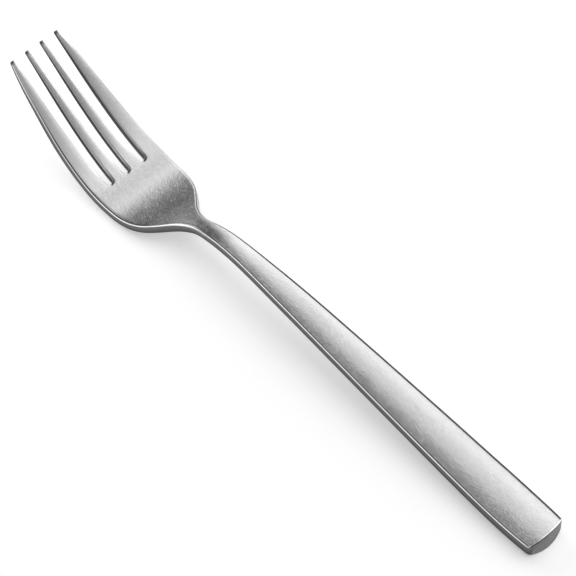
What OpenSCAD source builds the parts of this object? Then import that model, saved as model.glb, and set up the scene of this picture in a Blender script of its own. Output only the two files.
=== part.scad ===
// Dinner fork with four tines, forged in one piece of stainless steel.
// It lies as it does on a table: tips at -X, end of the handle at +X, +Z up,
// with the underside of the head and of the handle's end on the plane Z = 0.
// Lengths are in millimetres. Distances along the fork start at the tips.

/* [Lengths] */
// Straight length of the head, from the tips to the narrowest point of the neck
head_len = 70.7; // [64:0.1:80]
// Straight length of the handle, from the neck to the end
handle_len = 136.6; // [110:0.1:160]
// Straight length of the slots between the tines
slot_len = 39; // [32:0.1:44]
// Distance from the tips to the lowest point of the head
belly_at = 46.7; // [44:0.1:52]
// Distance from the neck to the highest point of the handle's arch
crest_at = 15.7; // [12:0.1:24]

/* [Widths] */
// Width over the four tips
tips_w = 17.7; // [16:0.1:21]
// Greatest width of the head, beside the ends of the slots
head_w = 25.8; // [23:0.1:30]
// Width of the neck where it is narrowest
neck_w = 5.3; // [4:0.1:7]
// Greatest width of the handle, near its end
handle_w = 13.8; // [11:0.1:16]
// Width of the handle's end
end_w = 13.1; // [10:0.1:15]
// How far the middle of the handle's end stands out past its corners
end_bulge = 0.8; // [0.2:0.1:2]
// How far the rounded underside of the end reaches past its top edge
end_foot = 0.7; // [0:0.1:1]

/* [Tines] */
// Width of a tine at its tip
tip_w = 1.25; // [1.1:0.05:2]
// Width of a slot at its round end
slot_w = 2.2; // [1.6:0.05:2.8]
// Distance between the middles of two slots at their round ends
slot_pitch = 6.25; // [5.8:0.05:6.9]

/* [Heights] */
// Height of the tips' top edges above the table
tip_rise = 27.2; // [18:0.1:30]
// Height of the arch's top edges above the table
crest_rise = 14.1; // [10:0.1:17]

/* [Thickness at the edges] */
// Thickness of a tine at its tip
tip_t = 1.1; // [0.95:0.05:1.8]
// Thickness of the head beside the slots
head_t = 3.05; // [2.2:0.05:3.4]
// Thickness of the head's shoulders, behind the slots
shoulder_t = 2.8; // [2.4:0.05:3.6]
// Thickness of the neck
neck_t = 3.05; // [2.6:0.05:4.2]
// Thickness of the handle where its arch is highest
handle_t = 3.1; // [2.4:0.05:3.8]
// Thickness of the handle at its end
end_t = 3.95; // [2.8:0.05:4.4]

/* [Crowns and bevels] */
// Rise of a tine's top from its bevels to its middle
tine_crown = 0.3; // [0.1:0.05:0.4]
// Rise of the handle's top from its edges to its middle
handle_crown = 0.5; // [0.1:0.05:0.8]
// Depth of the head's rounded underside below its edges
head_belly = 0.4; // [0.15:0.05:0.5]
// Depth of the handle's rounded underside below its edges, at its end
handle_belly = 1.4; // [0.6:0.05:1.8]
// Width of the bevel along every edge
bevel = 0.35; // [0.2:0.01:0.4]
// Depth by which the underside is ground flat where the fork rests
rest_flat = 0.12; // [0.06:0.01:0.2]

/* [Fineness] */
// Stations along the straight part of the tines
tine_steps = 17; // [10:1:24]
// Stations from the slots' ends to the neck
shoulder_steps = 18; // [12:1:24]
// Stations along the handle
handle_steps = 34; // [20:1:44]
// Stations round one half of a slot's round end
round_steps = 6; // [4:1:8]
// Points across the crown of one tine
crown_steps = 3; // [3:2:5]

/* [Hidden] */
tines = 4;
slots = tines - 1;
fork_len = head_len + handle_len;
crest_x = head_len + crest_at;
slot_r = slot_w / 2;
slot_x = slot_len - slot_r;
tip_pitch = (tips_w - tip_w) / slots;
tip_gap_r = (tip_pitch - tip_w) / 2;
// Distance over which a crown fades out behind the slots, from the slots' width
fade_share = 3;
fade_len = fade_share * slot_w;
// Share of the handle over which its underside grows round
belly_grow_share = 0.5;
// Point on the fork, as a share of it, where the end's bulge starts
bulge_share = 0.9;
// Point on the way from the neck to the slots' ends, as a share, where the crown starts
crown_share = 0.4;
// Share of a bevel by which the tips are drawn in all round
tip_in_share = 0.75;
// Share of the fork over which a slope is measured
slope_share = 0.001;
quarter_turn = 90;

// Side profile of the top edges, as pairs of shares: how far along the stretch,
// and how far from the height at its low end to the height at its high end.
// From the lowest point of the head forward to the tips:
tine_rise_shares = [[0, 0], [0.1, 0.015], [0.2, 0.058], [0.32, 0.143], [0.46, 0.28],
    [0.6, 0.451], [0.775, 0.692], [0.9, 0.865], [1, 1]];
// From the lowest point of the head back to the crest of the arch:
shoulder_rise_shares = [[0, 0], [0.12, 0.039], [0.24, 0.146], [0.36, 0.305], [0.48, 0.495],
    [0.6, 0.685], [0.72, 0.841], [0.85, 0.951], [1, 1]];
// From the end of the handle forward to the crest of the arch:
arch_rise_shares = [[0, 0], [0.08, 0.027], [0.18, 0.113], [0.39, 0.378], [0.63, 0.691],
    [0.81, 0.907], [0.91, 0.984], [1, 1]];

// Outline in plan, as pairs of shares of a length and of the change in half width.
// From the tips to the widest part of the head, beside the slots' ends:
tine_flare_shares = [[0, 0], [0.06, 0.133], [0.17, 0.334], [0.34, 0.529], [0.62, 0.83],
    [0.85, 0.967], [1, 1]];
// From there to the neck:
shoulder_shares = [[0, 0], [0.17, 0.008], [0.34, 0.035], [0.45, 0.101], [0.56, 0.243],
    [0.67, 0.496], [0.785, 0.78], [0.89, 0.936], [1, 1]];
// From the neck to the widest part of the handle, and on to its end:
handle_flare_shares = [[0, 0], [0.033, 0.034], [0.1, 0.097], [0.165, 0.17], [0.295, 0.364],
    [0.493, 0.598], [0.69, 0.791], [0.89, 0.948], [1, 1]];
widest_share = 0.89;
// From the widest part of the handle to its end:
end_round_shares = [[0, 0], [0.4, 0.09], [0.7, 0.38], [1, 1]];

// Places, as shares of the fork's length, where the thickness of the edges is set
thick_at_shares = [0, 0.065, 0.17, 0.27, 0.34, 0.44, 0.8, 1];
// How far a tine has thickened at the second of them, and the handle at the last but one
tine_t_share = 0.75;
end_t_share = 0.3;

// A straight blend from a to b, held at its ends
function blend(t, a, b) = a + (b - a) * min(1, max(0, t));

// A share that leaves 0 and reaches 1 without a kink
function smooth(t) = let (s = blend(t, 0, 1)) s * s * (3 - 2 * s);

// Rows of [place, value] for a stretch of a curve, from its table of shares
function stretch(shares, x0, x1, v0, v1) =
    [for (s = shares) [x0 + (x1 - x0) * s[0], v0 + (v1 - v0) * s[1]]];
function backwards(rows) = [for (i = [len(rows) - 1 : -1 : 0]) rows[i]];
function tail(rows) = [for (i = [1 : len(rows) - 1]) rows[i]];

// A smooth curve through rows of [place, value]: each row's slope is that of a
// parabola through it and its two neighbours
function rise(rows, i) = (rows[i + 1][1] - rows[i][1]) / (rows[i + 1][0] - rows[i][0]);
function run(rows, i) = rows[i + 1][0] - rows[i][0];
function knot_slope(rows, i) =
    i == 0 ? rise(rows, 0)
    : i == len(rows) - 1 ? rise(rows, i - 1)
    : (run(rows, i) * rise(rows, i - 1) + run(rows, i - 1) * rise(rows, i))
        / (run(rows, i - 1) + run(rows, i));
function knot_before(rows, x, i = 0) =
    i >= len(rows) - 2 || x < rows[i + 1][0] ? i : knot_before(rows, x, i + 1);
function curve(rows, x) =
    let (i = knot_before(rows, x),
        w = run(rows, i),
        t = (x - rows[i][0]) / w,
        u = 1 - t)
    u * u * (1 + 2 * t) * rows[i][1] + t * t * (1 + 2 * u) * rows[i + 1][1]
        + t * u * w * (u * knot_slope(rows, i) - t * knot_slope(rows, i + 1));
function slope(rows, x) =
    let (step = slope_share * fork_len)
    (curve(rows, x + step) - curve(rows, x - step)) / (2 * step);

edge_thicknesses = [tip_t, blend(tine_t_share, tip_t, head_t), head_t, shoulder_t, neck_t,
    handle_t, blend(end_t_share, handle_t, end_t), end_t];
thick_rows = [for (i = [0 : len(thick_at_shares) - 1])
    [thick_at_shares[i] * fork_len, edge_thicknesses[i]]];

// Heights of the top edges where the fork rests, from its own thickness there
belly_z = curve(thick_rows, belly_at) + head_belly - rest_flat;
end_z = end_t + handle_belly - rest_flat;

profile_rows = concat(
    backwards(stretch(tine_rise_shares, belly_at, 0, belly_z, tip_rise)),
    tail(stretch(shoulder_rise_shares, belly_at, crest_x, belly_z, crest_rise)),
    tail(backwards(stretch(arch_rise_shares, fork_len, crest_x, end_z, crest_rise))));

handle_wide_x = head_len + handle_len * widest_share;
width_rows = concat(
    stretch(tine_flare_shares, 0, slot_len, tips_w / 2, head_w / 2),
    tail(stretch(shoulder_shares, slot_len, head_len, head_w / 2, neck_w / 2)),
    tail(stretch(handle_flare_shares, head_len, handle_wide_x, neck_w / 2, handle_w / 2)),
    tail(stretch(end_round_shares, handle_wide_x, fork_len, handle_w / 2, end_w / 2)));

// Fade of the tines' crowns behind the slots, and rise of the handle's crown, which
// goes with the handle's width from the neck on
function tine_part(x) = blend((x - slot_x) / fade_len, 1, 0);
crown_x = blend(crown_share, head_len, slot_len);
function crown_rise(x) =
    handle_crown * smooth((x - crown_x) / (head_len - crown_x)) * curve(width_rows, x)
        / (handle_w / 2);
function handle_part(x) = blend((x - head_len) / handle_len, 0, 1);
function belly_depth(x) =
    x < head_len ? head_belly
    : blend(handle_part(x) / belly_grow_share, head_belly, handle_belly);

// Stations along the fork. A station lies at each point where the slots' walls
// meet and where the bevels round them meet, and behind those the head is whole.
tine_xs = [bevel, for (i = [1 : tine_steps]) blend(i / tine_steps, bevel, slot_x)];
round_xs = [for (i = [1 : round_steps]) slot_x + slot_r * sin(quarter_turn * i / round_steps)];
rim_xs = [slot_len + bevel / 2, slot_len + bevel];
shoulder_xs = [for (i = [1 : shoulder_steps])
    blend(i / shoulder_steps, slot_len + bevel, head_len)];
handle_xs = [for (i = [1 : handle_steps])
    blend(i / handle_steps, head_len, fork_len - bevel)];
stations = concat([0], tine_xs, round_xs, rim_xs, shoulder_xs, handle_xs, [fork_len]);
walls_meet = len(tine_xs) + len(round_xs);
bevels_meet = walls_meet + len(rim_xs);
last_station = len(stations) - 1;

// Half width of a slot at its walls (grow = 0) or at its bevels (grow = bevel)
function slot_half(x, grow) =
    x <= slot_x ? blend(x / slot_x, tip_gap_r, slot_r) + grow
    : sqrt(max(0, pow(slot_r + grow, 2) - pow(x - slot_x, 2)));
function slot_middle(x, s) =
    let (pitch = x < slot_len ? blend(x / slot_len, tip_pitch, slot_pitch)
            : slot_pitch * curve(width_rows, x) / (head_w / 2))
    (s - (slots - 1) / 2) * pitch;

// Columns across one tine: wall, bevel, points of the crown, bevel, wall
last_column = crown_steps + 3;
// The tips are drawn in all round, and the handle's end from above
function tip_in(i) = i == 0 ? tip_in_share * bevel : 0;
function top_in(i) = i == last_station ? bevel : tip_in(i);

// Place across the fork of a tine's left (side -1) or right (side 1) wall or bevel
function tine_side(i, tine, side, grow) =
    let (x = stations[i], slot = side < 0 ? tine - 1 : tine)
    slot < 0 || slot >= slots ? side * (curve(width_rows, x) - grow)
    : slot_middle(x, slot) - side * slot_half(x, i < bevels_meet ? grow : 0);
function column_y(i, tine, c) =
    let (x = stations[i],
        wall = tip_in(i),
        rim = bevel + wall / 2,
        left = tine_side(i, tine, -1, rim),
        right = tine_side(i, tine, 1, rim))
    c == 0 ? tine_side(i, tine, -1, wall)
    : c == last_column ? tine_side(i, tine, 1, wall)
    : left + (right - left) * (c - 1) / (last_column - 2);

// How far a wall's edge lies below the crown: a full bevel, half of one at the tips,
// or less where the bevels run together behind a slot
function is_outer(tine, c) = (tine == 0 && c == 0) || (tine == tines - 1 && c == last_column);
function wall_drop(i, tine, c) =
    c > 0 && c < last_column ? 0
    : i == 0 ? bevel / 2
    : is_outer(tine, c) || i < walls_meet ? bevel
    : max(0, slot_len + bevel - stations[i]);

// Share of the crown over a tine, and over the whole width
function bow(t) = 1 - t * t;
function over_tine(c) = bow(2 * (blend((c - 1) / (last_column - 2), 0, 1) - 1 / 2));
function over_width(i, y) = bow(y / curve(width_rows, stations[i]));

// Height of a top point over the edge line, and depth of a bottom point below it
function top_h(i, tine, c, y) =
    let (x = stations[i])
    tine_crown * tine_part(x) * over_tine(c)
        + crown_rise(x) * over_width(i, y)
        - wall_drop(i, tine, c) - top_in(i);
function bottom_h(i, tine, c, y) =
    let (x = stations[i])
    wall_drop(i, tine, c) + tip_in(i) - curve(thick_rows, x)
        - belly_depth(x) * (x < slot_x ? over_tine(c) : over_width(i, y));

// How far a point near the handle's end lies behind the middle of the end's top edge:
// its corners are set back, and its underside reaches past it
function end_part(x) = blend((x / fork_len - bulge_share) / (1 - bulge_share), 0, 1);
function end_curve(x, y, top) =
    end_part(x) * (end_bulge * (1 - bow(y / (end_w / 2)))
        - (top ? 0 : end_foot * bow(y / (end_w / 2))));

function fork_point(i, top, tine, c) =
    let (x = stations[i],
        y = column_y(i, tine, c),
        a = atan(slope(profile_rows, x)),
        h = top ? top_h(i, tine, c, y) : bottom_h(i, tine, c, y),
        z = curve(profile_rows, x) + cos(a) * h)
    [x - sin(a) * h - end_curve(x, y, top), y, max(z, 0)];

// All points, station by station: the top's columns, then the bottom's. They are moved
// along the fork so that its middle lies at X = 0.
row_len = tines * (last_column + 1);
placed = [for (i = [0 : last_station], top = [true, false], tine = [0 : slots], c = [0 : last_column])
    fork_point(i, top, tine, c)];
places_x = [for (p = placed) p[0]];
middle_x = (min(places_x) + max(places_x)) / 2;
points = [for (p = placed) [p[0] - middle_x, p[1], p[2]]];

// Number of a point. Where two tines have grown together they share their points:
// the walls between them first, then the bevels.
function own_number(i, top, tine, c) =
    (2 * i + (top ? 0 : 1)) * row_len + tine * (last_column + 1) + c;
function joins_left(i, tine, c) =
    tine > 0 && ((i >= walls_meet && c == 0) || (i >= bevels_meet && c == 1));
function joins_right(i, tine, c) =
    tine < slots && i >= bevels_meet && c == last_column - 1;
function number(i, top, tine, c) =
    joins_left(i, tine, c) ? own_number(i, top, tine - 1, last_column)
    : joins_right(i, tine, c) ? own_number(i, top, tine, last_column)
    : own_number(i, top, tine, c);

// Two triangles of a four-sided patch, without any that has shrunk to a line
function patch(a, b, c, d) =
    [for (f = [[a, b, c], [a, c, d]]) if (f[0] != f[1] && f[1] != f[2] && f[2] != f[0]) f];

skin_faces = [for (i = [0 : last_station - 1], tine = [0 : slots], c = [0 : last_column - 1])
    each concat(
        patch(number(i, true, tine, c), number(i, true, tine, c + 1),
            number(i + 1, true, tine, c + 1), number(i + 1, true, tine, c)),
        patch(number(i, false, tine, c), number(i + 1, false, tine, c),
            number(i + 1, false, tine, c + 1), number(i, false, tine, c + 1)))];

left_walls = [for (tine = [0 : slots], i = [0 : (tine == 0 ? last_station : walls_meet) - 1])
    each patch(number(i, false, tine, 0), number(i, true, tine, 0),
        number(i + 1, true, tine, 0), number(i + 1, false, tine, 0))];

right_walls = [for (tine = [0 : slots], i = [0 : (tine == slots ? last_station : walls_meet) - 1])
    let (c = last_column)
    each patch(number(i, false, tine, c), number(i + 1, false, tine, c),
        number(i + 1, true, tine, c), number(i, true, tine, c))];

end_faces = [for (tine = [0 : slots], c = [0 : last_column - 1])
    each concat(
        patch(number(0, false, tine, c), number(0, false, tine, c + 1),
            number(0, true, tine, c + 1), number(0, true, tine, c)),
        patch(number(last_station, false, tine, c), number(last_station, true, tine, c),
            number(last_station, true, tine, c + 1), number(last_station, false, tine, c + 1)))];

module fork() {
    color("#b9bbbd")
        polyhedron(points = points, faces = concat(skin_faces, left_walls, right_walls, end_faces));
}

fork();
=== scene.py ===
"""A dinner fork of satin, tumbled stainless steel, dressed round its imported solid.

The fork is one forged piece. Its surface is drawn the way the solid is drawn: stations
stand square to the side profile, and each tine has its own columns, which run together
behind the slots. Here the edges are true rounds and the stations lie close together.
"""

import logging
import math
from bisect import bisect_right
from dataclasses import dataclass, field
from enum import Enum
from typing import Any

import bmesh
import bpy
from mathutils import Matrix, Vector

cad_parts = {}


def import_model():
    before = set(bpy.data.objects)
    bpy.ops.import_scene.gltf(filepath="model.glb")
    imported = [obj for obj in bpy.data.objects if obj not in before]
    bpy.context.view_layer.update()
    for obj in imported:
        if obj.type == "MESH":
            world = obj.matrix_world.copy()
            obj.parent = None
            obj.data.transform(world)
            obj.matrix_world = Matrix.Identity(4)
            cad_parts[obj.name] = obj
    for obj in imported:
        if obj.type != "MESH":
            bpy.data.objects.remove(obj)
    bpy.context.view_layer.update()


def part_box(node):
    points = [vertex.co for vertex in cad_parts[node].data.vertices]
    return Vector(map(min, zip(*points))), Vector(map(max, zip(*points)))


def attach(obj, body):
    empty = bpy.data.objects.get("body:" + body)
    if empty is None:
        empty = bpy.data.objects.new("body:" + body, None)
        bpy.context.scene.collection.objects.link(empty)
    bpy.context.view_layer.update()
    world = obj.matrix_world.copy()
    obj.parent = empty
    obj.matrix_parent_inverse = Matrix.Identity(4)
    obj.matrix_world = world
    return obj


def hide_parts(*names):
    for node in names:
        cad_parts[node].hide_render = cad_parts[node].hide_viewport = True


log = logging.getLogger("fork")

MM = 0.001
QUARTER = math.pi / 2
HALF = 0.5
PHOTO_SIDE = 576
WHITE = (1.0, 1.0, 1.0, 1.0)
# The numbers of a Mix node's colour sockets.
MIX_FIRST, MIX_SECOND, MIX_RESULT = 6, 7, 2
# The mesh layer of painted light on the edges: painted highlights on smoother steel, the plain
# satin face, and painted dark lines of shade.
PAINTED_LIGHT_NAME = "painted_edge_light"
POLISH_AND_PAINTED_LIGHT, PLAIN, PAINTED_SHADE = 0.0, 0.5, 1.0

Rows = tuple[tuple[float, float], ...]
Colour = tuple[float, float, float]


class Side(Enum):
    """The two faces of the fork: the one that shows and the one that it lies on."""

    TOP = "top"
    BOTTOM = "bottom"


def clamp(value: float, low: float = 0.0, high: float = 1.0) -> float:
    """Returns value, held between low and high."""
    return min(high, max(low, value))


def blend(share: float, start: float, end: float) -> float:
    """Returns a straight blend from start to end, held at its ends."""
    return start + (end - start) * clamp(share)


def ease(share: float) -> float:
    """Returns a share that leaves 0 and reaches 1 without a kink."""
    held = clamp(share)
    return held * held * (3 - 2 * held)


def bow(share: float) -> float:
    """Returns the height of a flat arch: 1 in its middle and 0 at a share of -1 or 1."""
    return 1 - share * share


def round_over(distance: float, radius: float) -> float:
    """Returns how far up a rounded edge has come, from 0 at the wall to 1 on the flat."""
    away = 1 - clamp(distance / radius)
    return math.sqrt(1 - away * away)


@dataclass(frozen=True)
class SmoothCurve:
    """A smooth curve through rows of (place, value); each row's slope is a parabola's."""

    rows: Rows

    def _rise(self, i: int) -> float:
        """Returns the straight slope from row i to the next."""
        (x0, v0), (x1, v1) = self.rows[i], self.rows[i + 1]
        return (v1 - v0) / (x1 - x0)

    def _run(self, i: int) -> float:
        """Returns the distance from row i to the next."""
        return self.rows[i + 1][0] - self.rows[i][0]

    def _knot_slope(self, i: int) -> float:
        """Works out the slope of the parabola through a row and its neighbours.

        Args:
            i: number of the row.

        Returns:
            The curve's slope there.
        """
        if i == 0:
            return self._rise(0)
        if i == len(self.rows) - 1:
            return self._rise(i - 1)
        before, after = self._run(i - 1), self._run(i)
        return (after * self._rise(i - 1) + before * self._rise(i)) / (before + after)

    def at(self, x: float) -> float:
        """Reads the curve.

        Args:
            x: the place.

        Returns:
            The curve's value there.
        """
        places = [row[0] for row in self.rows]
        i = int(clamp(bisect_right(places, x) - 1, 0, len(places) - 2))
        run = self._run(i)
        t = (x - places[i]) / run
        u = 1 - t
        near = u * u * (1 + 2 * t) * self.rows[i][1] + t * t * (1 + 2 * u) * self.rows[i + 1][1]
        return near + t * u * run * (u * self._knot_slope(i) - t * self._knot_slope(i + 1))

    def slope(self, x: float, step: float) -> float:
        """Returns the curve's slope at x, measured over a step to each side."""
        return (self.at(x + step) - self.at(x - step)) / (2 * step)


def stretch(shares: Rows, x0: float, x1: float, v0: float, v1: float) -> Rows:
    """Returns a curve's rows from (x0, v0) to (x1, v1), from shares of both changes."""
    return tuple((x0 + (x1 - x0) * a, v0 + (v1 - v0) * b) for a, b in shares)


@dataclass(frozen=True)
class EdgeSection:
    """The section of a rounded edge: a tight arc at the wall that runs into a wide one.

    Sizes are millimetres and angles are degrees of turn away from the wall.
    """

    tight: float = 0.34
    wide: float = 1.6
    meet: float = 65.0
    stop: float = 82.0
    tip_share: float = 0.7
    tip_end: float = 0.0
    tip_fade: float = 8.0
    wide_x: float = 72.0
    wide_reach: float = 11.0
    wide_share: float = 0.8
    tight_steps: int = 5
    wide_steps: int = 3
    insets: tuple[float, ...] = field(init=False)
    rises: tuple[float, ...] = field(init=False)

    def __post_init__(self) -> None:
        """Works out the rings of the section, from the wall to the face."""
        inset, rise, angle = 0.0, 0.0, 0.0
        rings = [(inset, rise)]
        for radius, end, steps in (
            (self.tight, self.meet, self.tight_steps),
            (self.wide, self.stop, self.wide_steps),
        ):
            start = math.radians(angle)
            for i in range(steps):
                turn = start + (math.radians(end) - start) * (i + 1) / steps
                inwards = radius * (math.cos(start) - math.cos(turn))
                upwards = radius * (math.sin(turn) - math.sin(start))
                rings.append((inset + inwards, rise + upwards))
            inset, rise = rings[-1]
            angle = end
        object.__setattr__(self, "insets", tuple(ring[0] for ring in rings))
        object.__setattr__(self, "rises", tuple(ring[1] for ring in rings))

    @property
    def last(self) -> int:
        """The number of the ring where the edge runs into the face."""
        return len(self.insets) - 1

    def scale(self, x: float) -> float:
        """Works out the section's size, which is small at a tip and large at the shoulder.

        Args:
            x: place along the fork.

        Returns:
            The size there, as a share of the usual one.
        """
        bulge = ease(1 - abs(x - self.wide_x) / self.wide_reach)
        past_tip = (x - self.tip_end) / self.tip_fade
        return blend(past_tip, self.tip_share, 1.0) + self.wide_share * bulge

    def drop(self, ring: int) -> float:
        """Returns how far a ring lies below the face."""
        return self.rises[-1] - self.rises[ring]

    def drop_at(self, inset: float) -> float:
        """Reads the section between its rings.

        Args:
            inset: distance inside the wall.

        Returns:
            How far the surface lies below the face there.
        """
        held = clamp(inset, 0.0, self.insets[-1])
        i = int(clamp(bisect_right(self.insets, held) - 1, 0, self.last - 1))
        share = (held - self.insets[i]) / (self.insets[i + 1] - self.insets[i])
        return blend(share, self.drop(i), self.drop(i + 1))


@dataclass(frozen=True)
class ForkShape:
    """The fork's sizes in millimetres, and the curves that follow from them.

    Distances along the fork start at the tips. Shares are those of the solid.
    """

    head_len: float = 70.7
    handle_len: float = 136.6
    slot_len: float = 39.0
    belly_at: float = 46.7
    crest_at: float = 15.7
    tips_w: float = 17.7
    head_w: float = 25.8
    neck_w: float = 5.3
    handle_w: float = 13.8
    end_w: float = 13.1
    end_bulge: float = 0.8
    end_foot: float = 0.7
    tip_w: float = 1.25
    slot_w: float = 2.2
    slot_pitch: float = 6.25
    tip_rise: float = 27.2
    crest_rise: float = 14.1
    tip_t: float = 1.1
    head_t: float = 3.05
    shoulder_t: float = 2.8
    neck_t: float = 3.05
    handle_t: float = 3.1
    end_t: float = 3.95
    tine_crown: float = 0.18
    handle_crown: float = 0.5
    head_belly: float = 0.4
    handle_belly: float = 1.4
    rest_flat: float = 0.12
    tip_round: float = 0.4
    edge: EdgeSection = EdgeSection()
    far_edge: EdgeSection = EdgeSection(tip_share=0.35, tip_end=46.0, tip_fade=14.0)
    slot_under: EdgeSection = EdgeSection(tight=1.1, wide=1.6, tip_share=0.4, tip_fade=20.0)
    end_round: float = 0.3
    corner_round: float = 0.9
    tines: int = 4
    tine_rise_shares: Rows = (
        (0, 0), (0.1, 0.015), (0.2, 0.058), (0.32, 0.143), (0.46, 0.28), (0.6, 0.451),
        (0.775, 0.692), (0.9, 0.865), (1, 1),
    )
    shoulder_rise_shares: Rows = (
        (0, 0), (0.12, 0.039), (0.24, 0.146), (0.36, 0.305), (0.48, 0.495), (0.6, 0.685),
        (0.72, 0.841), (0.85, 0.951), (1, 1),
    )
    arch_rise_shares: Rows = (
        (0, 0), (0.08, 0.027), (0.18, 0.113), (0.39, 0.378), (0.63, 0.691), (0.81, 0.907),
        (0.91, 0.984), (1, 1),
    )
    tine_flare_shares: Rows = (
        (0, 0), (0.06, 0.133), (0.17, 0.334), (0.34, 0.529), (0.62, 0.83), (0.85, 0.967),
        (1, 1),
    )
    shoulder_shares: Rows = (
        (0, 0), (0.17, 0.008), (0.34, 0.035), (0.45, 0.101), (0.56, 0.243), (0.67, 0.496),
        (0.785, 0.78), (0.89, 0.936), (1, 1),
    )
    handle_flare_shares: Rows = (
        (0, 0), (0.033, 0.034), (0.1, 0.097), (0.165, 0.17), (0.295, 0.364), (0.493, 0.598),
        (0.69, 0.791), (0.89, 0.948), (1, 1),
    )
    end_taper_shares: Rows = ((0, 0), (0.4, 0.09), (0.7, 0.38), (1, 1))
    widest_share: float = 0.89
    thick_at_shares: tuple[float, ...] = (0, 0.065, 0.17, 0.27, 0.34, 0.44, 0.8, 1)
    tine_t_share: float = 0.75
    end_t_share: float = 0.3
    crown_end: float = 1.5
    crown_fade: float = 12.0
    belly_grow_share: float = 0.5
    crown_share: float = 0.4
    bulge_share: float = 0.9
    slope_share: float = 0.001
    thickness: SmoothCurve = field(init=False)
    height: SmoothCurve = field(init=False)
    half_width: SmoothCurve = field(init=False)

    def __post_init__(self) -> None:
        """Works out the three curves."""
        object.__setattr__(self, "thickness", self._thickness())
        object.__setattr__(self, "height", self._height())
        object.__setattr__(self, "half_width", self._half_width())

    @property
    def length(self) -> float:
        """The fork's straight length."""
        return self.head_len + self.handle_len

    @property
    def slots(self) -> int:
        """The number of slots."""
        return self.tines - 1

    @property
    def slot_r(self) -> float:
        """The radius of a slot's round end."""
        return self.slot_w / 2

    @property
    def slot_x(self) -> float:
        """The place where the slots' round ends start."""
        return self.slot_len - self.slot_r

    @property
    def tip_pitch(self) -> float:
        """The distance between the middles of two tips."""
        return (self.tips_w - self.tip_w) / self.slots

    def _thickness(self) -> SmoothCurve:
        """Lays out the thickness of the edges.

        Returns:
            The thickness along the fork.
        """
        values = (
            self.tip_t,
            blend(self.tine_t_share, self.tip_t, self.head_t),
            self.head_t,
            self.shoulder_t,
            self.neck_t,
            self.handle_t,
            blend(self.end_t_share, self.handle_t, self.end_t),
            self.end_t,
        )
        places = (share * self.length for share in self.thick_at_shares)
        return SmoothCurve(tuple(zip(places, values)))

    def _height(self) -> SmoothCurve:
        """Lays out the side profile: the tines' rise, the shoulder's and the handle's arch.

        Returns:
            The height of the top edges above the table.
        """
        crest_x = self.head_len + self.crest_at
        belly_z = self.thickness.at(self.belly_at) + self.head_belly - self.rest_flat
        end_z = self.end_t + self.handle_belly - self.rest_flat
        tines = stretch(self.tine_rise_shares, self.belly_at, 0, belly_z, self.tip_rise)
        crest = (crest_x, belly_z, self.crest_rise)
        shoulder = stretch(self.shoulder_rise_shares, self.belly_at, *crest)
        arch = stretch(self.arch_rise_shares, self.length, crest_x, end_z, self.crest_rise)
        return SmoothCurve(tines[::-1] + shoulder[1:] + arch[::-1][1:])

    def _half_width(self) -> SmoothCurve:
        """Lays out the outline in plan.

        Returns:
            Half the fork's width along it.
        """
        widest = self.head_len + self.handle_len * self.widest_share
        tips, head, neck = self.tips_w / 2, self.head_w / 2, self.neck_w / 2
        handle, end = self.handle_w / 2, self.end_w / 2
        rows = stretch(self.tine_flare_shares, 0, self.slot_len, tips, head)
        rows += stretch(self.shoulder_shares, self.slot_len, self.head_len, head, neck)[1:]
        rows += stretch(self.handle_flare_shares, self.head_len, widest, neck, handle)[1:]
        rows += stretch(self.end_taper_shares, widest, self.length, handle, end)[1:]
        return SmoothCurve(rows)

    def slot_half(self, x: float, grow: float) -> float:
        """Returns half the width of a slot, grown all round.

        Args:
            x: place along the fork.
            grow: how far outside the slot's wall to measure.

        Returns:
            Half the width, or 0 behind the slot.
        """
        if x <= self.slot_x:
            tip_half = (self.tip_pitch - self.tip_w) / 2
            return blend(x / self.slot_x, tip_half, self.slot_r) + grow
        return math.sqrt(max(0.0, (self.slot_r + grow) ** 2 - (x - self.slot_x) ** 2))

    def slot_middle(self, x: float, slot: int) -> float:
        """Works out where a slot's middle line lies, or its trace behind the slot.

        Args:
            x: place along the fork.
            slot: number of the slot.

        Returns:
            The line's place across the fork.
        """
        if x < self.slot_len:
            pitch = blend(x / self.slot_len, self.tip_pitch, self.slot_pitch)
        else:
            pitch = self.slot_pitch * self.half_width.at(x) / (self.head_w / 2)
        return (slot - (self.slots - 1) / 2) * pitch

    def end_inset(self, x: float) -> float:
        """Works out how far the round corners of a tip or of the end draw in the walls.

        Args:
            x: place along the fork.

        Returns:
            The distance, or 0 away from the ends.
        """
        if x < self.tip_round:
            return self.tip_round * (1 - round_over(x, self.tip_round))
        return self.corner_round * (1 - round_over(self.length - x, self.corner_round))

    def end_set_back(self, x: float, y: float, side: Side) -> float:
        """Works out how far a point near the handle's end lies behind the end's middle.

        Args:
            x: place along the fork.
            y: place across it.
            side: the face that the point belongs to.

        Returns:
            The distance, or 0 away from the end.
        """
        part = clamp((x / self.length - self.bulge_share) / (1 - self.bulge_share))
        arch = bow(y / (self.end_w / 2))
        foot = self.end_foot * arch if side is Side.BOTTOM else 0.0
        return part * (self.end_bulge * (1 - arch) - foot)

    def tine_arch(self, x: float, across: float) -> float:
        """Returns the crown of a tine, which flattens out before the slots end."""
        fade = ease((self.slot_x - self.crown_end - x) / self.crown_fade)
        return self.tine_crown * fade * bow(across)

    def handle_share(self, x: float) -> float:
        """Returns how far along the handle x lies, from 0 at the neck to 1 at the end."""
        return clamp((x - self.head_len) / self.handle_len)

    def crown(self, x: float) -> float:
        """Works out the rise of the handle's top, which goes with its width.

        Args:
            x: place along the fork.

        Returns:
            The rise in the middle of the width, or 0 on the head.
        """
        start = blend(self.crown_share, self.head_len, self.slot_len)
        part = ease((x - start) / (self.head_len - start))
        return self.handle_crown * part * self.half_width.at(x) / (self.handle_w / 2)

    def rise(self, x: float, y: float, across: float) -> float:
        """Returns the height of the top over the edge line, on its own normal."""
        over_width = bow(clamp(y / self.half_width.at(x), -1, 1))
        return self.tine_arch(x, across) + self.crown(x) * over_width

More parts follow.
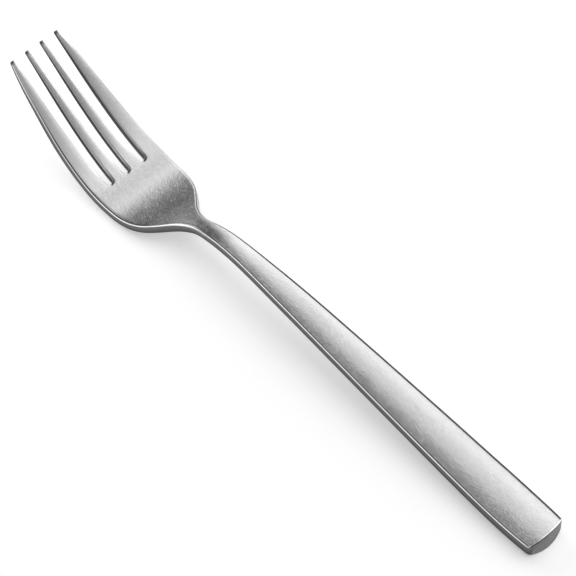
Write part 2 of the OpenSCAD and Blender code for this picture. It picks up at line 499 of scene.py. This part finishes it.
    def depth(self, x: float, y: float, across: float) -> float:
        """Works out how deep the underside lies below the edge line, on its own normal.

        Args:
            x: place along the fork.
            y: place across it.
            across: share of the tine's width, from -1 to 1.

        Returns:
            The depth.
        """
        over_width = bow(clamp(y / self.half_width.at(x), -1, 1))
        joined = ease((x - self.slot_x) / self.slot_w)
        round_share = (1 - joined) * bow(across) + joined * over_width
        grown = self.handle_share(x) / self.belly_grow_share
        belly = blend(grown, self.head_belly, self.handle_belly)
        return self.thickness.at(x) + belly * round_share

    def place(self, x: float, y: float, h: float, side: Side) -> Vector:
        """Sets a point on the profile's normal, and no lower than the table.

        Args:
            x: place along the fork.
            y: place across it.
            h: height over the edge line.
            side: the face that the point belongs to.

        Returns:
            The point, in millimetres.
        """
        angle = math.atan(self.height.slope(x, self.slope_share * self.length))
        z = self.height.at(x) + math.cos(angle) * h
        back = math.sin(angle) * h + self.end_set_back(x, y, side)
        return Vector((x - back, y, max(z, 0.0)))


@dataclass(frozen=True)
class PaintedEdgeLight:
    """Painted light on the steel's edges: painted highlight lines and painted dark lines of
    shade.

    Places are millimetres from the tips. Shades run from a polished painted highlight over the
    plain satin face to painted shade. Near is the side of the camera, and rings are counted
    from the wall.
    """

    # Painted shade: a dark spot on each tip's near side.
    tip_spot: float = 0.4
    # Painted shade: a dark line on the face beside the near edge's painted highlight, with a
    # gap at the shoulder.
    near_x: float = 8.0
    near_run: float = 14.0
    near_gap_x: float = 66.0
    near_gap: float = 12.0
    # Painted shade on the near walls and along the underside of the near edges.
    wall: float = 0.66
    under: float = 0.9
    under_rings: int = 3
    # Painted highlight line and painted shade in the slots, darkest towards each root.
    slot_painted_highlight: float = 0.4
    slot_rim: float = 0.65
    root_run: float = 4.0
    # Painted highlight over the far half of each tine.
    far_half_x: float = 6.0
    far_half_end: float = 46.0
    far_half_run: float = 12.0
    far_half_painted_highlight: float = 0.4
    # Painted dark line along the handle's far edge.
    far_x: float = 84.0
    far_run: float = 22.0
    far_rim: float = 0.85
    # Painted highlight line and painted dark line at the top edge of the handle's end.
    end_light: float = 0.5
    end_line: float = 0.3
    end_line_from: float = 0.25
    end_line_to: float = 0.75

    def at_end(self, to_end: float, share: float) -> float:
        """Paints the top edge of the handle's end: a painted highlight line with a painted dark
        line below it.

        Args:
            to_end: distance from the end.
            share: place across the handle, from 0 on the near side to 1.

        Returns:
            The shade.
        """
        if to_end > self.end_line:
            return POLISH_AND_PAINTED_LIGHT
        below = PAINTED_SHADE if to_end else self.wall
        gone = (share - self.end_line_from) / (self.end_line_to - self.end_line_from)
        return blend(gone, below, PLAIN)

    def near_outside(self, edge: EdgeSection, x: float, ring: int) -> float:
        """Paints the fork's own near edge with painted light and shade.

        Args:
            edge: the section of the edge.
            x: place along the fork.
            ring: number of the ring.

        Returns:
            The shade: a painted highlight line over the wall, with a painted dark line beside
                it on the face.
        """
        if ring >= edge.last:
            return PLAIN
        if ring < edge.tight_steps:
            return POLISH_AND_PAINTED_LIGHT if ring else self.wall
        line = blend((x - self.near_x) / self.near_run, PLAIN, PAINTED_SHADE)
        gap = ease(1 - abs(x - self.near_gap_x) / self.near_gap)
        return PLAIN + (line - PLAIN) * (1 - gap)

    def near_slot(self, edge: EdgeSection, to_root: float, ring: int, last: bool) -> float:
        """Paints a tine's near edge beside a slot with painted light and shade.

        Args:
            edge: the section of the edge.
            to_root: distance from the slot's root.
            ring: number of the ring.
            last: whether the tine is the farthest one, which has no painted highlight line.

        Returns:
            The shade: painted dark, with a fine painted highlight line over the wall that ends
                at the root.
        """
        if ring >= edge.last:
            return PLAIN
        root = clamp(1.0 - to_root / self.root_run)
        if ring >= edge.tight_steps:
            return blend(root, self.slot_rim, PAINTED_SHADE)
        return PAINTED_SHADE if last else blend(root, self.slot_painted_highlight, PAINTED_SHADE)

    def far_outside(self, edge: EdgeSection, x: float, ring: int, share: float) -> float:
        """Paints the fork's own far edge with painted light and shade.

        Args:
            edge: the section of the edge.
            x: place along the fork.
            ring: number of the ring.
            share: 0 in the tine's middle and 1 where its far edge starts.

        Returns:
            The shade: a painted highlight round the head and the shoulder, and a painted dark
                line on the handle.
        """
        shoulder = ease(1 - abs(x - edge.wide_x) / edge.wide_reach)
        line = clamp((x - self.far_x) / self.far_run)
        if ring >= edge.last:
            if line and share >= 1:
                return blend(line, PLAIN, self.far_rim)
            return PLAIN * (1.0 - share * share * shoulder)
        if ring >= edge.tight_steps:
            return blend(line, PLAIN, PAINTED_SHADE) * (1 - shoulder)
        if ring:
            return blend((x - self.far_half_x) / self.far_half_run, PLAIN, line)
        return PLAIN * (1 - shoulder)

    def far_slot(self, edge: EdgeSection, x: float, ring: int, share: float) -> float:
        """Paints a tine's far half beside a slot with painted highlights.

        Args:
            edge: the section of the edge.
            x: place along the fork.
            ring: number of the ring.
            share: 0 in the tine's middle and 1 where its far edge starts.

        Returns:
            The shade, a painted highlight that gets lighter towards the far edge.
        """
        start = clamp((x - self.far_half_x) / self.far_half_run)
        end = clamp((self.far_half_end - x) / self.far_half_run)
        if ring >= edge.last:
            return PLAIN * (1.0 - self.far_half_painted_highlight * share * start * end)
        return blend(start, PLAIN, POLISH_AND_PAINTED_LIGHT) if 0 < ring < edge.tight_steps else PLAIN


@dataclass
class ForkSurface:
    """Lays out the stations and columns of the fork's skin, and draws it with bmesh."""

    shape: ForkShape = ForkShape()
    # The painted highlights and painted dark lines on the edges.
    shades: PaintedEdgeLight = PaintedEdgeLight()
    round_steps: int = 5
    crown_steps: int = 8
    tine_steps: int = 44
    root_steps: int = 9
    shoulder_steps: int = 46
    handle_steps: int = 110
    weld: float = 1e-4

    def __post_init__(self) -> None:
        """Works out the stations along the fork."""
        shape, steps = self.shape, self.round_steps
        turns = [i / steps for i in range(steps + 1)]
        rounds = [1 - math.cos(QUARTER * t) for t in turns]
        rim_end = shape.slot_len + shape.edge.insets[-1]
        tips = [shape.tip_round * r for r in rounds]
        tines = self._spread(tips[-1], shape.slot_x, self.tine_steps)
        roots = [
            shape.slot_x + shape.slot_r * math.sin(QUARTER * (i + 1) / self.root_steps)
            for i in range(self.root_steps)
        ]
        rims = [shape.slot_len + inset for inset in shape.edge.insets[1:]]
        shoulder = self._spread(rim_end, shape.head_len, self.shoulder_steps)
        end_start = shape.length - shape.corner_round
        handle = self._spread(shape.head_len, end_start, self.handle_steps)
        ends = [shape.length - shape.corner_round * r for r in rounds[::-1]][1:]
        self.stations = tips + tines + roots + rims + shoulder + handle + ends

    @staticmethod
    def _spread(start: float, end: float, steps: int) -> list[float]:
        """Returns the ends of equal steps from start to end, without start."""
        return [start + (end - start) * (i + 1) / steps for i in range(steps)]

    @property
    def columns(self) -> int:
        """The number of points across one tine."""
        return 2 * len(self.shape.edge.insets) + self.crown_steps - 1

    def _direction(self, column: int) -> int:
        """Returns -1 for a column of the tine's near half and 1 for one of its far half."""
        return -1 if column < self.columns / 2 else 1

    def _ring(self, column: int) -> int:
        """Returns the ring of the edge that a column belongs to; a face has the last one."""
        return min(column, self.columns - 1 - column, self.shape.edge.last)

    def _slot(self, tine: int, direction: int) -> int | None:
        """Returns the slot at a tine's near (-1) or far (1) edge, or None at the fork's own."""
        slot = tine - 1 if direction < 0 else tine
        return slot if 0 <= slot < self.shape.slots else None

    def _edge(self, x: float, tine: int, direction: int, grow: float) -> float:
        """Works out where a tine's edge lies, drawn in by grow.

        Args:
            x: place along the fork.
            tine: number of the tine.
            direction: -1 for its near edge and 1 for its far edge.
            grow: how far inside the wall the line lies.

        Returns:
            The place across the fork, in millimetres.
        """
        shape = self.shape
        slot = self._slot(tine, direction)
        inset = shape.end_inset(x) + grow
        if slot is None:
            return direction * (shape.half_width.at(x) - inset)
        return shape.slot_middle(x, slot) - direction * shape.slot_half(x, inset)

    def _section(self, tine: int, direction: int, side: Side) -> EdgeSection:
        """Chooses the section of one long edge.

        Args:
            tine: number of the tine.
            direction: -1 for its near edge and 1 for its far edge.
            side: the face that the edge belongs to.

        Returns:
            The section: full under the slots, fine on the far side above, or the usual one.
        """
        if side is Side.TOP:
            return self.shape.far_edge if direction > 0 else self.shape.edge
        outside = self._slot(tine, direction) is None
        return self.shape.edge if outside else self.shape.slot_under

    def _across(self, x: float, tine: int, column: int, side: Side) -> tuple[float, float]:
        """Works out where a column lies.

        Args:
            x: place along the fork.
            tine: number of the tine.
            column: number of the column.
            side: the face that the point belongs to.

        Returns:
            Its place across the fork, and its share of the tine's face, from -1 to 1.
        """
        shape, last = self.shape, self.shape.edge.last
        narrowed = 1.0
        if x < shape.tip_round:
            narrowed = 1 - shape.end_inset(x) / (shape.tip_w / 2)
        ends = []
        for direction, rank in ((-1, column), (1, self.columns - 1 - column)):
            section = self._section(tine, direction, side)
            grow = section.scale(x) * section.insets[min(rank, last)] * narrowed
            ends.append(self._edge(x, tine, direction, grow))
        share = clamp((column - last) / self.crown_steps)
        return blend(share, *ends), 2 * share - 1

    def _edge_drop(self, x: float, tine: int, column: int, side: Side) -> float:
        """Works out how far the rounded edges draw a point towards the middle of the steel.

        Args:
            x: place along the fork.
            tine: number of the tine.
            column: number of the column.
            side: the face that the point belongs to.

        Returns:
            The distance, on the profile's normal.
        """
        shape = self.shape
        direction = self._direction(column)
        section = self._section(tine, direction, side)
        behind = x - shape.slot_len
        drop = section.drop(self._ring(column)) * section.scale(x)
        if self._slot(tine, direction) is not None and behind > 0:
            drop = min(drop, section.drop_at(behind))
        end_radius = shape.tip_round if x < shape.head_len else shape.end_round
        end_up = round_over(min(x, shape.length - x), end_radius)
        return end_radius * (1 - end_up) + drop * end_up

    def _point(self, i: int, tine: int, column: int, side: Side) -> Vector:
        """Works out one point of the skin.

        Args:
            i: number of the station.
            tine: number of the tine.
            column: number of the column.
            side: the face that the point belongs to.

        Returns:
            The point, in millimetres.
        """
        x = self.stations[i]
        y, across = self._across(x, tine, column, side)
        drop = self._edge_drop(x, tine, column, side)
        if side is Side.TOP:
            h = self.shape.rise(x, y, across) - drop
        else:
            h = drop - self.shape.depth(x, y, across)
        return self.shape.place(x, y, h, side)

    def _shade(self, i: int, tine: int, column: int, side: Side) -> float:
        """Works out the painted highlight and shade of one point of the skin.

        Args:
            i: number of the station.
            tine: number of the tine.
            column: number of the column.
            side: the face that the point belongs to.

        Returns:
            The shade, from a polished painted highlight over the plain face to painted shade.
        """
        x, ring = self.stations[i], self._ring(column)
        shape, shades, edge = self.shape, self.shades, self.shape.edge
        near = self._direction(column) < 0
        in_slot = self._slot(tine, self._direction(column)) is not None
        to_end = shape.length - x
        if side is Side.TOP and (in_slot or ring) and to_end < shades.end_light:
            return shades.at_end(to_end, (tine + column / (self.columns - 1)) / shape.tines)
        if in_slot and x > shape.slot_len + edge.insets[-1]:
            return PLAIN
        # Painted shade on the near walls of the slots.
        if in_slot and near and ring < edge.tight_steps - 1:
            return PAINTED_SHADE
        # Painted shade along the underside of the near edges.
        if side is Side.BOTTOM:
            return shades.under if near and ring < shades.under_rings else PLAIN
        # Painted shade: a dark spot on each tip's near side.
        if x < shades.tip_spot:
            return PAINTED_SHADE if near else PLAIN
        if near and in_slot:
            return shades.near_slot(edge, shape.slot_len - x, ring, tine == shape.slots)
        if near:
            return shades.near_outside(edge, x, ring)
        share = clamp((2 * column - self.columns + 1) / self.crown_steps)
        far_shade = shades.far_slot if in_slot else shades.far_outside
        return far_shade(edge, x, ring, share)

    def _draw_strip(self, mesh: bmesh.types.BMesh, tine: int, side: Side) -> None:
        """Draws one face of one tine, from its tip to the handle's end, from a flat grid.

        Args:
            mesh: the mesh that it is added to.
            tine: number of the tine.
            side: the face.
        """
        rows, columns = len(self.stations), self.columns
        made = bmesh.ops.create_grid(
            mesh, x_segments=rows - 1, y_segments=columns - 1, size=HALF
        )
        # Each point keeps its painted highlight and shade in a mesh layer.
        shade = mesh.verts.layers.float[PAINTED_LIGHT_NAME]
        for v in made["verts"]:
            i = round((v.co.x + HALF) * (rows - 1))
            column = round((v.co.y + HALF) * (columns - 1))
            v[shade] = self._shade(i, tine, column, side)
            v.co = self._point(i, tine, column, side)

    def draw(self) -> bmesh.types.BMesh:
        """Draws the closed skin.

        Returns:
            The bmesh, in metres, with its tips at -X and its underside on Z = 0.
        """
        mesh = bmesh.new()
        mesh.verts.layers.float.new(PAINTED_LIGHT_NAME)
        for side in Side:
            for tine in range(self.shape.tines):
                self._draw_strip(mesh, tine, side)
            bmesh.ops.remove_doubles(mesh, verts=mesh.verts, dist=self.weld)
        rims = [e for e in mesh.edges if e.is_boundary]
        bmesh.ops.bridge_loops(mesh, edges=rims)
        bmesh.ops.dissolve_degenerate(mesh, edges=mesh.edges, dist=self.weld)
        bmesh.ops.recalc_face_normals(mesh, faces=mesh.faces)
        bmesh.ops.scale(mesh, vec=Vector((MM, MM, MM)), verts=mesh.verts)
        for face in mesh.faces:
            face.smooth = True
        return mesh


def add_object(name: str, mesh: bmesh.types.BMesh) -> bpy.types.Object:
    """Adds a finished mesh to the scene, at the origin.

    Args:
        name: the object's name.
        mesh: its bmesh, which is freed.

    Returns:
        The object.
    """
    data = bpy.data.meshes.new(name)
    mesh.to_mesh(data)
    mesh.free()
    made = bpy.data.objects.new(name, data)
    bpy.context.scene.collection.objects.link(made)
    return made


@dataclass
class Fork:
    """The fork itself: one piece that stands for the solid."""

    surface: ForkSurface
    node: str = "fork"
    piece_name: str = "fork_steel"
    slot: str = "steel"
    body: str = "root"

    def build(self) -> bpy.types.Object:
        """Draws the fork, lays it where the solid lies, and makes it ride on the body.

        Returns:
            The finished object.
        """
        mesh = self.surface.draw()
        self._lay_on_node(mesh)
        piece = add_object(self.piece_name, mesh)
        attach(piece, self.body)
        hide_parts(self.node)
        log.info("piece %s: %d faces", piece.name, len(piece.data.polygons))
        return piece

    def _lay_on_node(self, mesh: bmesh.types.BMesh) -> None:
        """Moves the mesh along X so that its middle is the middle of the solid.

        Args:
            mesh: the fork's mesh, in metres.
        """
        low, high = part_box(self.node)
        places = [v.co.x for v in mesh.verts]
        shift = (low.x + high.x) / 2 - (min(places) + max(places)) / 2
        bmesh.ops.translate(mesh, vec=Vector((shift, 0, 0)), verts=mesh.verts)
        log.info("moved along the fork by %.3f mm", shift / MM)

    def dress(self, piece: bpy.types.Object, finish: "SatinSteel") -> None:
        """Gives the piece its finish."""
        piece.data.materials.append(finish.material())
        log.info("dressed %s in %s", piece.name, finish.name)


class Wire:
    """An output socket that can be used in sums; each sum adds a Math node."""

    def __init__(self, desk: "Desk", socket: bpy.types.NodeSocket) -> None:
        """Wraps a socket that belongs to a desk's node tree."""
        self.desk = desk
        self.socket = socket

    def _math(self, operation: str, first: Any, second: Any) -> "Wire":
        """Returns the result of a Math node on two wires or numbers."""
        settings, sockets = {"operation": operation}, {0: first, 1: second}
        return self.desk.wire(self.desk.node("ShaderNodeMath", settings, sockets), 0)

    def __add__(self, other: Any) -> "Wire":
        """Returns self + other."""
        return self._math("ADD", self, other)

    def __radd__(self, other: Any) -> "Wire":
        """Returns other + self."""
        return self._math("ADD", other, self)

    def __sub__(self, other: Any) -> "Wire":
        """Returns self - other."""
        return self._math("SUBTRACT", self, other)

    def __rsub__(self, other: Any) -> "Wire":
        """Returns other - self."""
        return self._math("SUBTRACT", other, self)

    def __mul__(self, other: Any) -> "Wire":
        """Returns self * other."""
        return self._math("MULTIPLY", self, other)

    def __rmul__(self, other: Any) -> "Wire":
        """Returns other * self."""
        return self._math("MULTIPLY", other, self)

    def exp(self) -> "Wire":
        """Returns e to the power of self."""
        return self._math("EXPONENT", self, 0.0)

    def held(self) -> "Wire":
        """Returns self, held between 0 and 1."""
        return self._math("MINIMUM", self._math("MAXIMUM", self, 0.0), 1.0)


class Desk:
    """A node tree that is being built, with one method that adds any node."""

    def __init__(self, tree: bpy.types.NodeTree) -> None:
        """Clears the tree."""
        self.tree = tree
        tree.nodes.clear()

    def node(
        self,
        kind: str,
        settings: dict[str, Any] | None = None,
        sockets: dict[Any, Any] | None = None,
    ) -> bpy.types.Node:
        """Adds a node.

        Args:
            kind: the node's type.
            settings: its settings, which are set before its sockets.
            sockets: values or wires for its input sockets, by name or number.

        Returns:
            The node.
        """
        node = self.tree.nodes.new(kind)
        for name, value in (settings or {}).items():
            setattr(node, name, value)
        for name, value in (sockets or {}).items():
            if isinstance(value, Wire):
                self.tree.links.new(value.socket, node.inputs[name])
            else:
                node.inputs[name].default_value = value
        return node

    def wire(self, node: bpy.types.Node, output: Any) -> Wire:
        """Returns one of a node's outputs as a wire."""
        return Wire(self, node.outputs[output])

    def mix(self, share: Wire, first: Any, second: Any) -> Wire:
        """Blends two colours, each a wire or three numbers.

        Args:
            share: how much of the second colour there is.
            first: the colour at a share of 0.
            second: the colour at a share of 1.

        Returns:
            The blend.
        """
        pair = [c if isinstance(c, Wire) else (*c, 1.0) for c in (first, second)]
        sockets = {"Factor": share, MIX_FIRST: pair[0], MIX_SECOND: pair[1]}
        return self.wire(self.node("ShaderNodeMix", {"data_type": "RGBA"}, sockets), MIX_RESULT)

    def dot(self, vector: Wire, axis: Vector) -> Wire:
        """Returns the dot product of a vector and a fixed axis."""
        settings, sockets = {"operation": "DOT_PRODUCT"}, {0: vector, 1: tuple(axis)}
        return self.wire(self.node("ShaderNodeVectorMath", settings, sockets), "Value")


@dataclass(frozen=True)
class SatinSteel:
    """Stainless steel tumbled to a soft, mottled satin."""

    name: str = "satin_steel"
    tone: Colour = (0.645, 0.645, 0.643)
    dark_tone: Colour = (0.56, 0.56, 0.558)
    # Colours of the painted dark lines of shade and of the painted highlights on the edges.
    painted_shade_tone: Colour = (0.09, 0.09, 0.09)
    painted_highlight_tone: Colour = (0.93, 0.93, 0.93)
    polish: float = 0.12
    roughness: float = 0.235
    roughness_spread: float = 0.12
    fine_scale: float = 2600.0
    medium_scale: float = 700.0
    cloud_scale: float = 140.0
    detail: float = 2.0
    fine_share: float = 1.2
    medium_share: float = 1.0
    cloud_share: float = 0.6
    fine_height: float = 3.0
    medium_height: float = 2.4
    bump_unit: float = 0.00001

    def material(self) -> bpy.types.Material:
        """Makes the material.

        Returns:
            A metal whose tone, roughness and fine relief follow noises of three scales,
            and whose edges carry the mesh's painted highlights and painted dark lines of shade.
        """
        material = bpy.data.materials.new(self.name)
        material.use_nodes = True
        desk = Desk(material.node_tree)
        place = desk.wire(desk.node("ShaderNodeTexCoord"), "Object")
        fine = self._noise(desk, place, self.fine_scale)
        medium = self._noise(desk, place, self.medium_scale)
        cloud = self._noise(desk, place, self.cloud_scale)
        mottle = (
            fine * self.fine_share + medium * self.medium_share + cloud * self.cloud_share
        )
        middle = (self.fine_share + self.medium_share + self.cloud_share) / 2
        patch = (mottle - (middle - HALF)).held()
        face_tone = desk.mix(patch, self.dark_tone, self.tone)
        # The mesh's painted light on the edges: shades above plain darken the colour into
        # painted dark lines; shades below plain lighten it into painted highlights and make it
        # smoother.
        attribute = desk.node("ShaderNodeAttribute", {"attribute_name": PAINTED_LIGHT_NAME})
        shade = desk.wire(attribute, "Fac")
        darker = ((shade - PLAIN) * (1 / (PAINTED_SHADE - PLAIN))).held()
        polish_and_highlight = ((PLAIN - shade) * (1 / (PLAIN - POLISH_AND_PAINTED_LIGHT))).held()
        bright_tone = desk.mix(polish_and_highlight, face_tone, self.painted_highlight_tone)
        tone = desk.mix(darker, bright_tone, self.painted_shade_tone)
        bump = desk.node(
            "ShaderNodeBump",
            {},
            {
                "Distance": self.bump_unit,
                "Height": fine * self.fine_height + medium * self.medium_height,
            },
        )
        shader = desk.node(
            "ShaderNodeBsdfPrincipled",
            {},
            {
                "Base Color": tone,
                "Metallic": 1.0,
                "Roughness": self.roughness
                + (patch - HALF) * self.roughness_spread
                - polish_and_highlight * self.polish,
                "Normal": desk.wire(bump, "Normal"),
            },
        )
        desk.node("ShaderNodeOutputMaterial", {}, {"Surface": desk.wire(shader, "BSDF")})
        return material

    def _noise(self, desk: Desk, place: Wire, scale: float) -> Wire:
        """Returns a noise from 0 to 1 with spots of one scale."""
        sockets = {"Vector": place, "Scale": scale, "Detail": self.detail}
        return desk.wire(desk.node("ShaderNodeTexNoise", {}, sockets), "Fac")


@dataclass(frozen=True)
class Spot:
    """A round painted patch of light in the floor, strongest in its middle."""

    x: float
    y: float
    reach: float
    strength: float


@dataclass(frozen=True)
class PaleFloor:
    """The plain floor of the studio, with painted patches of glow; the steel mirrors it as a
    darker tone, which is a painted reflection.
    """

    name: str = "pale_floor"
    half: float = 3.0
    tone: float = 0.9
    # Painted reflection: the darker tone that only the steel's reflections see.
    mirrored_tone: float = 0.28
    glow: float = 0.46
    # Painted light: a glowing patch in the floor under the tines, which lightens the floor
    # where the fork's shadow falls.
    seen_spots: tuple[Spot, ...] = (Spot(-80 * MM, 3 * MM, 24 * MM, 0.75),)
    # Painted reflections: glowing patches that only the steel's reflections see.
    mirrored_spots: tuple[Spot, ...] = (
        Spot(-68 * MM, 34 * MM, 34 * MM, 2.4),
        Spot(-33 * MM, 13 * MM, 9 * MM, 3.2),
        Spot(-31 * MM, 35 * MM, 18 * MM, 2.6),
        Spot(-20 * MM, 300 * MM, 200 * MM, 2.6),
    )
    roughness: float = 0.9

    def build(self) -> bpy.types.Object:
        """Lays the floor under the fork.

        Returns:
            The floor.
        """
        mesh = bmesh.new()
        bmesh.ops.create_grid(mesh, x_segments=1, y_segments=1, size=self.half)
        floor = add_object(self.name, mesh)
        floor.data.materials.append(self.material())
        return floor

    def material(self) -> bpy.types.Material:
        """Makes the floor's material.

        Returns:
            A matt white, and for rays from the steel a darker tone with painted light patches:
            a painted reflection.
        """
        material = bpy.data.materials.new(self.name)
        material.use_nodes = True
        desk = Desk(material.node_tree)
        mirrored = desk.wire(desk.node("ShaderNodeLightPath"), "Is Glossy Ray")
        pale = self._shader(desk, self.tone, self._glow(desk, self.seen_spots))
        dim = self._shader(desk, self.mirrored_tone, self._glow(desk, self.mirrored_spots))
        mixed = desk.node("ShaderNodeMixShader", {}, {0: mirrored, 1: pale, 2: dim})
        desk.node("ShaderNodeOutputMaterial", {}, {"Surface": desk.wire(mixed, "Shader")})
        return material

    def _glow(self, desk: Desk, spots: tuple[Spot, ...]) -> Wire:
        """Lays out the floor's glow, with its painted patches of light.

        Args:
            desk: the material's node tree.
            spots: the patches that are brighter than the rest.

        Returns:
            The light's colour.
        """
        place = desk.wire(desk.node("ShaderNodeTexCoord"), "Object")
        colour: Any = (self.glow,) * 3
        for spot in spots:
            along = (desk.dot(place, Vector((1, 0, 0))) - spot.x) * (1 / spot.reach)
            across = (desk.dot(place, Vector((0, 1, 0))) - spot.y) * (1 / spot.reach)
            near = (-1.0 * (along * along + across * across)).exp()
            colour = desk.mix(near, colour, (spot.strength,) * 3)
        return colour

    def _shader(self, desk: Desk, tone: float, glow: Wire) -> Wire:
        """Makes a matt shader of one tone, which glows a little.

        Args:
            desk: the material's node tree.
            tone: the tone, from 0 to 1.
            glow: the colour of its glow.

        Returns:
            The shader.
        """
        shader = desk.node(
            "ShaderNodeBsdfPrincipled",
            {},
            {
                "Base Color": (tone, tone, tone, 1.0),
                "Roughness": self.roughness,
                "Emission Color": glow,
                "Emission Strength": tone,
                "Specular IOR Level": 0.0,
            },
        )
        return desk.wire(shader, "BSDF")


@dataclass(frozen=True)
class SoftBox:
    """One square soft light, which lights the floor and isn't mirrored by the steel."""

    name: str
    azimuth: float
    elevation: float
    distance: float
    size: float
    watts: float

    def build(self) -> bpy.types.Object:
        """Hangs the light at its place and turns it to the fork.

        Returns:
            The light.
        """
        data = bpy.data.lights.new(self.name, "AREA")
        data.shape = "SQUARE"
        data.size = self.size
        data.energy = self.watts
        light = bpy.data.objects.new(self.name, data)
        towards = direction(self.azimuth, self.elevation)
        light.location = towards * self.distance
        light.rotation_euler = towards.to_track_quat("Z", "Y").to_euler()
        light.visible_glossy = False
        bpy.context.scene.collection.objects.link(light)
        return light


def direction(azimuth: float, elevation: float) -> Vector:
    """Returns the unit vector at degrees of azimuth (0 is -Y and 90 is +X) and elevation."""
    a, e = math.radians(azimuth), math.radians(elevation)
    return Vector((math.sin(a) * math.cos(e), -math.cos(a) * math.cos(e), math.sin(e)))


@dataclass(frozen=True)
class Glow:
    """A smooth oval patch of the studio's surroundings, lighter or darker than the rest."""

    azimuth: float
    elevation: float
    roll: float
    spread: float
    rise: float
    level: float
    sharpness: float = 4.0
    facing_start: float = 0.5

    def shape(self, desk: Desk, look: Wire) -> Wire:
        """Lays out the patch.

        Args:
            desk: the world's node tree.
            look: the direction that is looked in.

        Returns:
            Its strength, from 1 in its middle to 0 far from it.
        """
        middle = direction(self.azimuth, self.elevation)
        side = Vector((0, 0, 1)).cross(middle).normalized()
        turn = Matrix.Rotation(math.radians(self.roll), 3, middle)
        across = desk.dot(look, turn @ side / self.spread)
        along = desk.dot(look, turn @ middle.cross(side) / self.rise)
        facing = (desk.dot(look, middle * self.sharpness) + self.facing_start).held()
        return (-1.0 * (across * across + along * along)).exp() * facing


@dataclass(frozen=True)
class Studio:
    """The camera, the surroundings' soft light and the floor."""

    azimuth: float = 46.636
    elevation: float = 55.037
    roll: float = -0.094
    distance: float = 850.24 * MM
    aim: tuple[float, float, float] = (-4.746 * MM, 7.542 * MM, 0.0)
    half_pixel: float = HALF / PHOTO_SIDE
    lens: float = 187.5055
    sensor: float = 36.0
    base: float = 0.05
    backdrop: float = 1.1
    boxes: tuple[SoftBox, ...] = (
        SoftBox("back_box", 178.0, 50.0, 1.5, 3.0, 23.0),
        SoftBox("top_box", 150.0, 80.0, 1.6, 2.4, 10.0),
        SoftBox("low_box", -95.0, 22.0, 1.3, 0.8, 6.0),
    )
    glows: tuple[Glow, ...] = (
        Glow(-125.6, 38.5, 25.1, 0.21, 0.66, 5.15),
        Glow(192.9, 65.7, 20.4, 0.09, 0.27, 3.07),
        Glow(167.7, 42.4, -89.8, 0.39, 0.11, 2.10),
        Glow(-21.6, 49.1, 22.4, 1.23, 0.65, 3.01),
        Glow(148.4, 15.0, -0.3, 0.25, 0.68, 1.27),
        Glow(177.0, 17.0, 0.0, 0.22, 0.3, 2.4),
    )
    shades: tuple[Glow, ...] = (
        Glow(-114.0, 20.4, -3.7, 0.18, 1.35, 1.0),
        Glow(-159.1, 76.7, 151.4, 0.37, 0.15, 1.0),
        Glow(-96.0, 26.8, -32.2, 0.70, 0.28, 1.0),
        Glow(43.6, 48.5, 52.6, 0.69, 0.95, 0.76),
        Glow(-161.7, 61.7, -23.6, 0.35, 0.09, 0.91),
        Glow(92.1, 38.3, -11.7, 0.36, 0.47, 0.59),
    )

    def build(self) -> None:
        """Sets up the floor, the surroundings and the camera."""
        PaleFloor().build()
        for box in self.boxes:
            box.build()
        self._surround()
        self._camera()
        bpy.context.scene.view_settings.view_transform = "Standard"

    def _surround(self) -> None:
        """Lights the steel from soft patches all round; the camera sees one plain tone."""
        world = bpy.data.worlds.new("studio_surround")
        world.use_nodes = True
        desk = Desk(world.node_tree)
        look = desk.wire(desk.node("ShaderNodeTexCoord"), "Generated")
        light: Any = self.base
        for glow in self.glows:
            light = light + glow.shape(desk, look) * glow.level
        for shade in self.shades:
            light = light * (1.0 - shade.shape(desk, look) * shade.level)
        seen = desk.wire(desk.node("ShaderNodeLightPath"), "Is Camera Ray")
        soft, plain = (
            desk.node("ShaderNodeBackground", {}, {"Color": WHITE, "Strength": strength})
            for strength in (light, self.backdrop)
        )
        pair = {1: desk.wire(soft, "Background"), 2: desk.wire(plain, "Background")}
        mixed = desk.node("ShaderNodeMixShader", {}, {0: seen, **pair})
        desk.node("ShaderNodeOutputWorld", {}, {"Surface": desk.wire(mixed, "Shader")})
        bpy.context.scene.world = world
        world.cycles_visibility.diffuse = False

    def _camera(self) -> None:
        """Sets the camera at the photograph's viewing angle."""
        data = bpy.data.cameras.new("camera")
        data.lens = self.lens
        data.sensor_width = self.sensor
        data.shift_x = -self.half_pixel
        data.shift_y = self.half_pixel
        camera = bpy.data.objects.new("camera", data)
        towards = direction(self.azimuth, self.elevation)
        roll = Matrix.Rotation(math.radians(self.roll), 3, "Z")
        turn = towards.to_track_quat("Z", "Y").to_matrix() @ roll
        camera.location = Vector(self.aim) + towards * self.distance
        camera.rotation_euler = turn.to_euler()
        bpy.context.scene.collection.objects.link(camera)
        bpy.context.scene.camera = camera


def main() -> None:
    """Builds and dresses the fork, then sets up the studio round it."""
    logging.basicConfig(level=logging.INFO)
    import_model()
    fork = Fork(ForkSurface())
    piece = fork.build()
    fork.dress(piece, SatinSteel())
    Studio().build()


if __name__ == "__main__":
    main()
